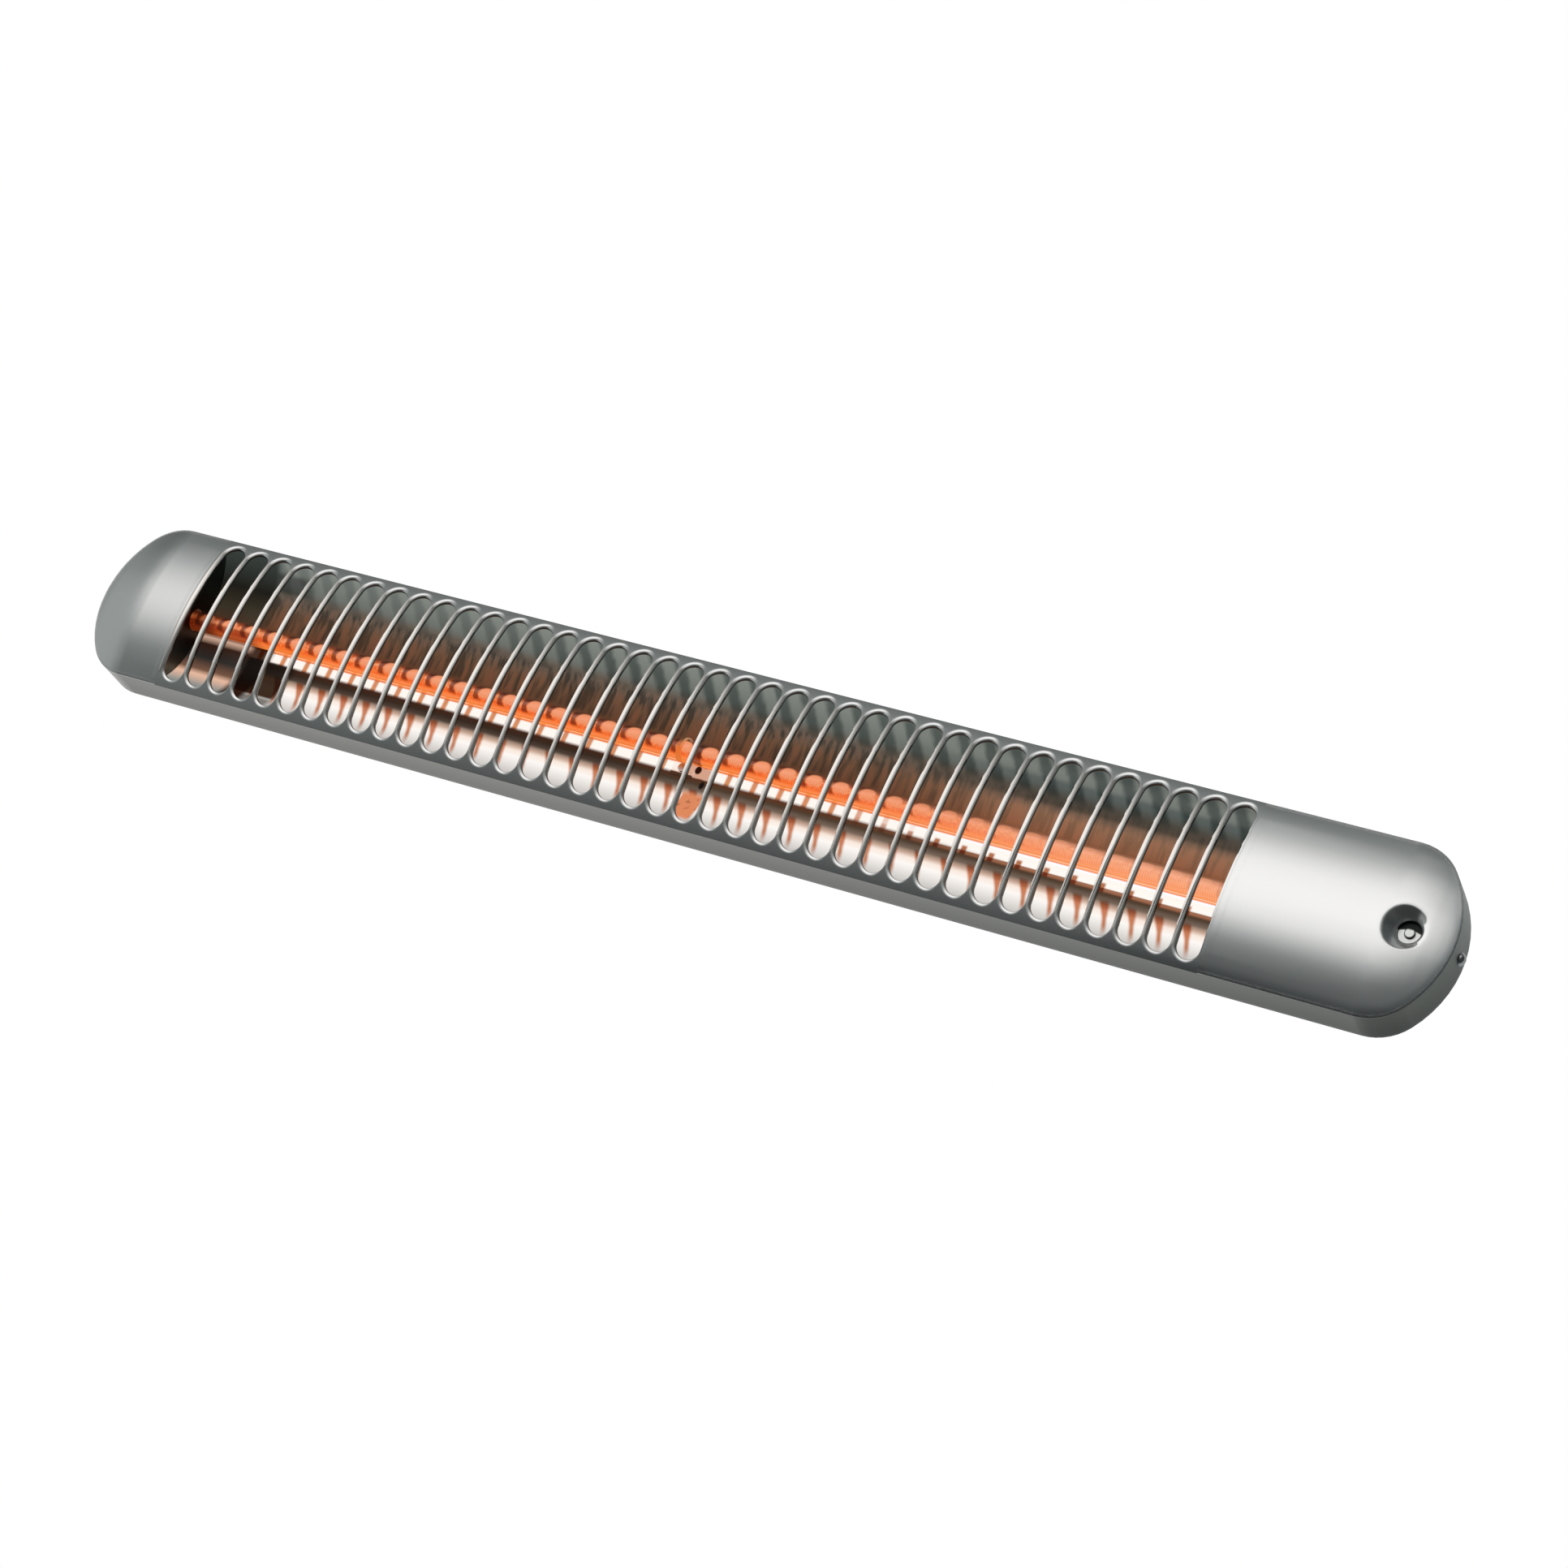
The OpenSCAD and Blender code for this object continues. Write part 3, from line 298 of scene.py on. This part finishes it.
# Painted reflections of the slots and bars: a fan on the upper wing, strips on the lower one and gaps in
# the white band. Darker and lighter streaks run through the painted brown reflection.
fan_pitch, strip_pitch, gap_pitch, gap_pitch_right = 15.6, 15.125, 15.7, 15.76
fan = ((x + z * 0.55 + 5) * (tau / fan_pitch)).maths("SINE")
fan = fan + trough.noise(0.25, stretch=(1, 1, 0.3)) * 1.2 - 0.6
fan_depth = x.ramp(-220, -80) * 0.50 + 0.50
painted_light = trough.shade(fan.ramp(0.7, -0.9) * z.ramp(27, 32) * fan_depth, painted_light, (0.42, 0.46, 0.46))
brown_zone = z.ramp(8, 12) * z.ramp(31, 27)
streaks = trough.noise(0.30, 2.0, stretch=(1, 1, 0.10))
streaky = brown_zone * (x.ramp(180, 40) * 0.6 + 0.4)
painted_light = trough.shade(streaks.ramp(0.58, 0.36) * streaky, painted_light, (0.42, 0.48, 0.52))
painted_light = trough.shade(streaks.ramp(0.52, 0.66) * streaky, painted_light, (1.25, 1.06, 1.0))
slant = abs((x + z * 0.45 + 281.3).repeat(strip_pitch))
wide = z.ramp(-29, -18) * 1.3 + 1.2
strips = 1 - ((slant - wide) / 1.6 + 0.5).within(0.0, 1.0)
strips = strips * (z.ramp(-40, -31) * 0.85 + 0.15)
gap = trough.blend(x.ramp(-25, -24), (x + 291.0) / gap_pitch, (x - 0.5) / gap_pitch_right)
gap = (abs(gap.repeat(1.0)) * gap_pitch).ramp(2.3, 0.8)
painted_light = trough.shade(strips * z.ramp(-16, -19), painted_light, (0.60, 0.24, 0.13))
painted_light = trough.shade(gap * z.band(-11, -4, 0.3) * x.ramp(130, 60), painted_light, (0.66, 0.28, 0.14))
painted_light = trough.shade(gap * z.band(-13, -8, 0.8) * x.ramp(60, 130), painted_light, (0.45, 0.17, 0.08))

# At the left the tube is cool and the painted light is dimmer: painted shade over the band and wings, a
# painted shadow of the end plate, and dim painted reflections at the very end.
painted_light = trough.shade(x.ramp(-297, -302) * z.ramp(-2.2, -3.2), painted_light, (0.055, 0.03, 0.02))
dark_left = x.ramp(-278, -284)
painted_light = trough.shade(dark_left * z.band(-34, -16.8, 1.2), painted_light, (0.042, 0.026, 0.016))
painted_light = trough.shade(dark_left * z.band(-21, -16.8, 1.2), painted_light, (1.7, 1.9, 1.6))
painted_light = trough.shade(dark_left * z.ramp(-33, -36), painted_light, (0.30, 0.30, 0.29))
painted_light = trough.shade(dark_left * z.band(-17.5, -10, 0.6), painted_light, (0.15, 0.15, 0.15))
painted_light = trough.shade(x.ramp(-284, -300) * z.band(31, 40, 1.5), painted_light, (0.42, 0.42, 0.42))
painted_dim_end = trough.shades(
    z, (-44.5, (.14, .14, .14)), (-38, (.28, .29, .27)), (-30, (.80, .49, .35)), (-26, (.18, .09, .056)),
    (-18, (.024, .022, .020)), (-9, (.030, .011, .006)), (-4.8, (.60, .38, .28)), (-3, (.09, .03, .015)),
    (16, (.040, .031, .019)), (29, (.013, .012, .009)), (44.5, (.04, .05, .045)))
painted_light = trough.blend(x.ramp(-311, -317), painted_light, painted_dim_end)

# The clip's foot shows as a painted peach reflection, with dark painted spots for its screw and an empty
# hole beside it.
clip_zone = x.band(-20.5, -7.5, 0.8)
cracks = trough.noise(0.5, 3.0, stretch=(1, 1, 0.5)).ramp(0.30, 0.40)
patch = trough.blend(cracks, (0.40, 0.14, 0.060, 1), (0.72, 0.245, 0.112, 1))
painted_light = trough.blend(clip_zone * z.band(-38, -20, 2.0), painted_light, patch)
painted_light = trough.blend(clip_zone * z.band(-10.5, -4.3, 0.6), painted_light, (0.66, 0.36, 0.25, 1))
hole = (x + 18.6).diagonal((z + 6.0) * 0.837).ramp(2.3, 1.6)
hole = hole.maths("MAXIMUM", (x + 12.8).diagonal((z + 14) * 0.592).ramp(1.9, 0.9))
painted_light = trough.shade(hole, painted_light, (0.02, 0.01, 0.01))
wear(trough, Base_Color=(0.014, 0.012, 0.010), Emission_Color=painted_light, Emission_Strength=1.0)
dress(trough, "reflector")

# The end plates close the trough, and the tube goes through a hole in each. Plain sheet, drawn very dark
# and browner towards the hole.
tube_depth = 12
plate = finish("heated_plate", Metallic=0.9, Roughness=0.36)
x, depth, z = plate.place()
away_from_hole = (depth - tube_depth).diagonal(z).ramp(9, 24) * (plate.noise(0.15) + 0.5)
wear(plate, Base_Color=plate.blend(away_from_hole, (0.05, 0.035, 0.028, 1), (0.085, 0.105, 0.100, 1)))
dress(plate, "reflector_end_left", "reflector_end_right")

# The coil of resistance wire, wound closely on a former and slid into the tube, where it glows
# orange. It fades at the left end, where the tube is cooler.
tube_left, tube_right, axis_depth = -0.3515, 0.2975, tube_depth / 1000
wire, coil_radius, coil_steps, doublings = 0.0008, 0.0039, 10, 9
coil_pitch = (tube_right - tube_left - 2 * wire) / 2 ** doublings
coil = bmesh.new()
bmesh.ops.create_circle(coil, segments=5, radius=wire / 2, cap_ends=False)
bmesh.ops.rotate(coil, verts=coil.verts, matrix=Matrix.Rotation(tau / 4, 3, "X"))
start = Vector((tube_left + wire, -axis_depth, coil_radius))
bmesh.ops.translate(coil, verts=coil.verts, vec=start)
bmesh.ops.spin(coil, geom=coil.verts[:] + coil.edges[:], cent=(0, -axis_depth, 0), axis=(1, 0, 0),
               dvec=(coil_pitch / coil_steps, 0, 0), angle=tau, steps=coil_steps)
for k in range(doublings):
    more = bmesh.ops.duplicate(coil, geom=coil.verts[:] + coil.edges[:] + coil.faces[:])["geom"]
    more = [part for part in more if isinstance(part, bmesh.types.BMVert)]
    bmesh.ops.translate(coil, verts=more, vec=(coil_pitch * 2 ** k, 0, 0))
bmesh.ops.remove_doubles(coil, verts=coil.verts, dist=wire / 100)
bmesh.ops.holes_fill(coil, edges=[e for e in coil.edges if e.is_boundary])
bmesh.ops.recalc_face_normals(coil, faces=coil.faces)
for face in coil.faces:
    face.smooth = True
fine_coil = bpy.data.objects.new("wound_coil", bpy.data.meshes.new("wound_coil"))
coil.to_mesh(fine_coil.data)
bpy.context.collection.objects.link(fine_coil)
hot = finish("hot_wire", Roughness=0.6, Base_Color=(0.08, 0.02, 0.01))
x, depth, z = hot.place()
wear(hot, Emission_Strength=1.0, Emission_Color=hot.shades(
    x, (-352, (.16, .045, .015)), (-338, (.30, .07, .02)), (-326, (.80, .21, .05)), (-60, (.86, .24, .06)),
    (120, (.92, .34, .12)), (300, (.94, .40, .17))))
dress(hot, fine_coil)
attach(fine_coil, "heater")
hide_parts("heating_coil")

# The quartz tube round the coil: clear and slightly milky, with the coil's glow in its wall painted on as
# emission,
# brightest low down. Painted on it too: each slot as a round lobe of light, a bar's painted shadow as a
# dark arc left of it.
quartz = finish("quartz_tube", Base_Color=(0.04, 0.02, 0.012), Roughness=0.12)
x, depth, z = quartz.place()
glow = quartz.shades(
    z, (-6, (.86, .24, .05)), (-5.2, (.95, .20, .03)), (-3.9, (.95, .18, .03)), (-2.6, (.93, .24, .07)),
    (-1.4, (.93, .33, .14)), (-0.2, (.85, .30, .13)), (0.9, (.60, .18, .06)), (2.2, (.30, .09, .035)),
    (6, (.12, .05, .03)))
mottle = quartz.noise(0.75, 3.0, stretch=(0.8, 1, 1))
glow = quartz.shade(mottle.ramp(0.60, 0.40) * z.ramp(-6, -3), glow, (0.86, 0.46, 0.20))
pale = quartz.shades(
    z, (-6, (.92, .34, .14)), (-3, (.97, .46, .26)), (0, (.93, .44, .27)), (6, (.5, .25, .15)))
glow = quartz.blend(x.ramp(20, 280) * 0.8, glow, pale)
lobe_pitch, first_lobe, wire_pitch = 15.82, -309.2, 1.27
lobe_x = (x - first_lobe).repeat(lobe_pitch)
lobe = (lobe_x * 0.894).diagonal(z + 0.6)
patterned = x.ramp(220, 40) * 0.75 + 0.25
glow = quartz.shade(z.ramp(0.5, 3.5) * lobe.ramp(3.8, 5.2) * patterned, glow, (0.55, 0.32, 0.20))
glow = quartz.shade(lobe.band(4.6, 7.6, 0.7) * lobe_x.ramp(0, -2.5) * z.ramp(-5.0, -3.6) * patterned, glow,
                    (0.30, 0.19, 0.12))
glow = quartz.blend(lobe.ramp(4.6, 3.4) * z.ramp(-4.4, -1.6) * patterned, glow, (0.86, 0.31, 0.15, 1))
# Painted shadow of the clip across the tube.
glow = quartz.shade(x.band(-18.9, -13.6, 0.6), glow, (0.36, 0.22, 0.14))
hatch = (x * (tau / wire_pitch)).maths("SINE").ramp(0.0, 1.0)
glow = quartz.shade(hatch * 0.45, glow, (0.85, 0.55, 0.4))
# The painted glow dims towards the cool left end, in its upper part first.
glow = quartz.shade(x.ramp(-298, -312) * z.ramp(-0.6, -2.4), glow, (0.42, 0.28, 0.20))
glow = quartz.shade(x.ramp(-330, -340), glow, (0.36, 0.28, 0.22))
wear(quartz, Emission_Color=glow, Emission_Strength=1.0, Alpha=z.ramp(4.4, 2.6) * 0.80 + 0.12)
dress(quartz, "quartz_tube")

# The ends of the element: nickel pins in white steatite caps. The ceramic is matt and a little
# yellowed by heat.
steatite = finish("white_steatite", Roughness=0.75)
stain = steatite.noise(0.12)
wear(steatite, Base_Color=steatite.blend(stain, (0.90, 0.88, 0.82, 1), (0.80, 0.74, 0.62, 1)),
     Normal=steatite.bump(steatite.noise(2.0), 0.03))
dress(steatite, "ceramic_cap_left", "ceramic_cap_right")
nickel = finish("dull_nickel", Metallic=1.0)
wear(nickel, Base_Color=nickel.blend(nickel.noise(0.8), (0.62, 0.58, 0.5, 1), (0.46, 0.42, 0.36, 1)),
     Roughness=0.35 + 0.15 * nickel.noise(1.5))
dress(nickel, "terminal_pin_left", "terminal_pin_right")

# The clip that carries the middle of the tube: thin spring steel, blued by the heat, drawn dark with light
# painted on as glow. Its strap has the tube's painted light, painted shade at its top and a painted
# highlight as a fine line on its right edge.
clip_paint = finish("blued_steel_painted_glow", Metallic=0.9, Roughness=0.35, Emission_Strength=1.0)
x, depth, z = clip_paint.place()
strap = clip_paint.shades(
    z, (-7, (.80, .20, .04)), (-3, (.90, .19, .035)), (0, (.82, .24, .08)), (4, (.60, .27, .13)),
    (7, (.36, .20, .12)))
shaded = clip_paint.shades(
    z, (-7, (.80, .20, .04)), (-3, (.88, .19, .035)), (0, (.60, .17, .055)), (3, (.16, .07, .032)),
    (7, (.060, .038, .025)))
strap = clip_paint.blend(x.ramp(-26.8, -26.3), shaded, strap)
# The foot is painted with the trough's reflections round it, the white band among them, so that it hardly
# shows.
foot = clip_paint.shades(
    z, (-12, (.022, .009, .004)), (-10.4, (.055, .017, .006)), (-9.8, (.85, .60, .48)),
    (-9.4, (1, .94, .88)), (-4.8, (1, .94, .89)), (-4.2, (.86, .24, .07)), (8, (.13, .05, .02)))
foot = clip_paint.blend(x.ramp(-25.5, -24.5) * z.band(-9.8, -4.4, 0.3), foot, (0.72, 0.42, 0.31, 1))
glow_mottle = clip_paint.blend(clip_paint.noise(0.7), (0.80, 0.72, 0.66, 1), (1.0, 1.0, 1.0, 1))
clip_painted_light = clip_paint.node("ShaderNodeMix", {"data_type": "RGBA", "blend_type": "MULTIPLY"}, 1.0,
                  clip_paint.blend(depth.ramp(5.4, 5.0), strap, foot), glow_mottle, out="Result")
wear(clip_paint, Base_Color=(0.05, 0.035, 0.025), Emission_Color=clip_painted_light)
dress(clip_paint, "tube_clip")

# The switch behind the button, the heat cut-out on the right-hand end plate and the terminal block.
# Black, brown and ivory mouldings with brass contacts.
dress(moulded, "switch_body")
phenolic = finish("brown_phenolic", Roughness=0.3)
grain = phenolic.noise(1.2, 4.0)
wear(phenolic, Base_Color=phenolic.blend(grain, (0.035, 0.018, 0.01, 1), (0.06, 0.03, 0.018, 1)))
dress(phenolic, "thermal_cutout")
ivory = finish("ivory_moulding", Roughness=0.45)
wear(ivory, Base_Color=ivory.blend(ivory.noise(0.2), (0.84, 0.82, 0.74, 1), (0.78, 0.75, 0.66, 1)),
     Normal=ivory.bump(ivory.noise(3.0), 0.015))
dress(ivory, "terminal_block")
brass = finish("plain_brass", Metallic=1.0)
wear(brass, Base_Color=brass.blend(brass.noise(0.9), (0.72, 0.54, 0.24, 1), (0.55, 0.4, 0.18, 1)),
     Roughness=0.28 + 0.2 * brass.noise(2.2))
dress(brass, "spade_tabs", "terminal_screws", "earth_stud")

# The leads: stranded wire in white glass-braid sleeving, which shows as a fine diagonal weave.
braid = finish("glass_braid", Roughness=0.8)
x, depth, z = braid.place()
strand = z * 5.2 + depth * 2.1
weave = (x * 5.2 + strand).maths("SINE") * (x * 5.2 - strand).maths("SINE")
wear(braid, Base_Color=braid.blend(weave.ramp(-0.8, 0.8), (0.66, 0.65, 0.6, 1), (0.86, 0.85, 0.81, 1)),
     Normal=braid.bump(weave, 0.08))
dress(braid, "lead_return", "lead_element", "lead_switched", "lead_live")

# Small zinc-plated screws inside, and the two chromed, domed screws that hold the cover to the tray.
plated = finish("zinc_plate", Metallic=1.0, Base_Color=(0.6, 0.61, 0.62))
wear(plated, Roughness=0.25 + 0.2 * plated.noise(2.0))
dress(plated, "bracket_screws")
chrome = finish("polished_chrome", Metallic=1.0, Base_Color=(0.62, 0.63, 0.64))
wear(chrome, Roughness=0.06 + 0.06 * chrome.noise(1.0))
dress(chrome, "cover_screw_left", "cover_screw_right")

# The push button: a turned aluminium disc with a small raised boss, sunk in its recess. Painted on its
# face: the shadow of the recess's upper edge over its top, and a dark ring of painted shade round the boss.
recess_x = 386.5
turned = finish("turned_aluminium", Metallic=0.9)
x, depth, z = turned.place()
aside = x - recess_x
reach = aside.diagonal(z)
rings = (reach * 22).maths("SINE")
shadowed = (z + aside * aside * 0.03).ramp(1.2, 2.2)
ring = reach.band(2.2, 2.9, 0.2)
face = turned.blend(shadowed.maths("MAXIMUM", ring * 0.85), (0.66, 0.67, 0.65, 1), (0.012, 0.014, 0.014, 1))
wear(turned, Base_Color=face, Roughness=0.3 + 0.05 * rings, Normal=turned.bump(rings, 0.004))
dress(turned, "push_button")

# The cover: one piece of satin-anodised aluminium, arched across the front, with forty round-ended
# slots whose rims are rolled inwards. Its side wall and slot walls carry a painted shade of darker,
# greenish grey.
grille_x, end_slot, slot_pitch, slot_half, slot_arc_z = -27.0, 291.3, 16, 6.3, 37.7
crown_depth, crown_curve, end_start = 31.8, 273.4, 375
satin = finish("satin_anodising")
x, depth, z = satin.place()
fine = satin.noise(1.4, 3.0, stretch=(0.5, 1, 1))
past = (abs(x) - end_start).maths("MAXIMUM", 0.0)
fall = z * z * (z * z * 1.4e-5 + 1) / crown_curve + past * past * (past * past * 4.6e-5 + 1) / 148
below = crown_depth - fall - depth

# The roll of each rim, as how far the normal leans towards the slot: to_right and the others say
# which side of the slot a place lies on, start where its roll begins and length how wide it is.
side = ((x - grille_x) / slot_pitch).maths("FRACT") * slot_pitch - slot_pitch / 2
tip = z - z.within(-slot_arc_z, slot_arc_z)
edge = side.diagonal(tip)
to_right = side.maths("MAXIMUM", 0.0) / edge
to_left = side.maths("MINIMUM", 0.0) / edge
above = tip.maths("MAXIMUM", 0.0) / edge
under = tip.maths("MINIMUM", 0.0) / edge
to_right, to_left, above, under = to_right * to_right, to_left * to_left, above * above, under * under
start = to_right * 0.8 + to_left * 2.6 + above * 2.6 + under * 1.7
length = to_right * 6.0 + to_left * 3.6 + above * 4.3 + under * 3.8
roll = ((start - edge + slot_half) / length).maths("MINIMUM", 0.95)
bars = (1 - abs(tip) / 4).maths("MAXIMUM", 0.0) * x.ramp(end_slot + 0.2, end_slot)
over_bar = (roll.maths("MINIMUM", 0.0) * 1.67).maths("MAXIMUM", -0.6) * to_right * bars
roll = roll.maths("MAXIMUM", 0.0) + over_bar
slope = z * (z * z * 5.6e-5 + 2) / crown_curve
flatter = slope * (1 - bars * x.ramp(-345.6, -345.2) * z.ramp(2, -8) * 0.38)
rolled = satin.node("ShaderNodeCombineXYZ", {}, roll * side / edge * -1,
                    (1 - roll * roll).maths("SQRT") * -1, flatter - roll * tip / edge)
grille = x.ramp(-348.8, -348.6) * x.ramp(293.0, 292.8) * below.ramp(1.2, 0.6)

# The recess: its mouth is soft, and the wall that faces the light is as bright as the crown.
aside = x - recess_x
reach = aside.diagonal(z)
mouth = reach.ramp(15, 12)
deep = below.ramp(0.5, 1.0) * (1 - mouth)
end_slope = past * (past * past * 9.2e-5 + 1) / 74 * (x / abs(x))
crown = satin.node("ShaderNodeCombineXYZ", {}, end_slope, -1.0, slope)
lit_side = reach.band(7.5, 12, 0.4) * (aside / reach).ramp(0.55, 0.9) * 0.8
soft = satin.node("ShaderNodeBevel", {"samples": 8}, 0.0025)
soft = satin.node("ShaderNodeMix", {"data_type": "VECTOR"}, lit_side, soft, crown, out="Result")
soft = satin.node("ShaderNodeMix", {"data_type": "VECTOR"}, grille, soft, rolled, out="Result")
soft = satin.node("ShaderNodeVectorMath", {"operation": "NORMALIZE"}, soft)
# Painted shade on the walls below the crown: dark greenish grey, darkest near the wall.
painted_wall_shade = satin.blend(depth.ramp(3, 23), (0.124, 0.130, 0.121, 1), (0.180, 0.187, 0.172, 1))
tone = satin.blend(deep, (0.785, 0.785, 0.78, 1), painted_wall_shade)
# Painted shade along the lower edge of the crown at the button end.
crease = depth.ramp(25.4, 23.2) * (1 - deep) * z.ramp(28, 6) * x.ramp(180, 330)
tone = satin.shade(crease, tone, (0.58, 0.59, 0.60))
# Painted shade on the lower left of the recess cone.
tone = satin.shade(reach.band(6.5, 12, 0.5) * aside.ramp(2, -4) * z.ramp(6, -2), tone, (0.62, 0.64, 0.65))
# Painted light: the bars are tinted warm for the element's glow falling on them.
tone = satin.blend(grille * bars, tone, (0.81, 0.765, 0.73, 1))
wear(satin, Base_Color=tone, Metallic=1.0, Roughness=0.20 + 0.04 * fine,
     Normal=satin.node("ShaderNodeBump", {}, Strength=1.0, Distance=0.000004, Height=fine, Normal=soft))
dress(satin, "front_cover")
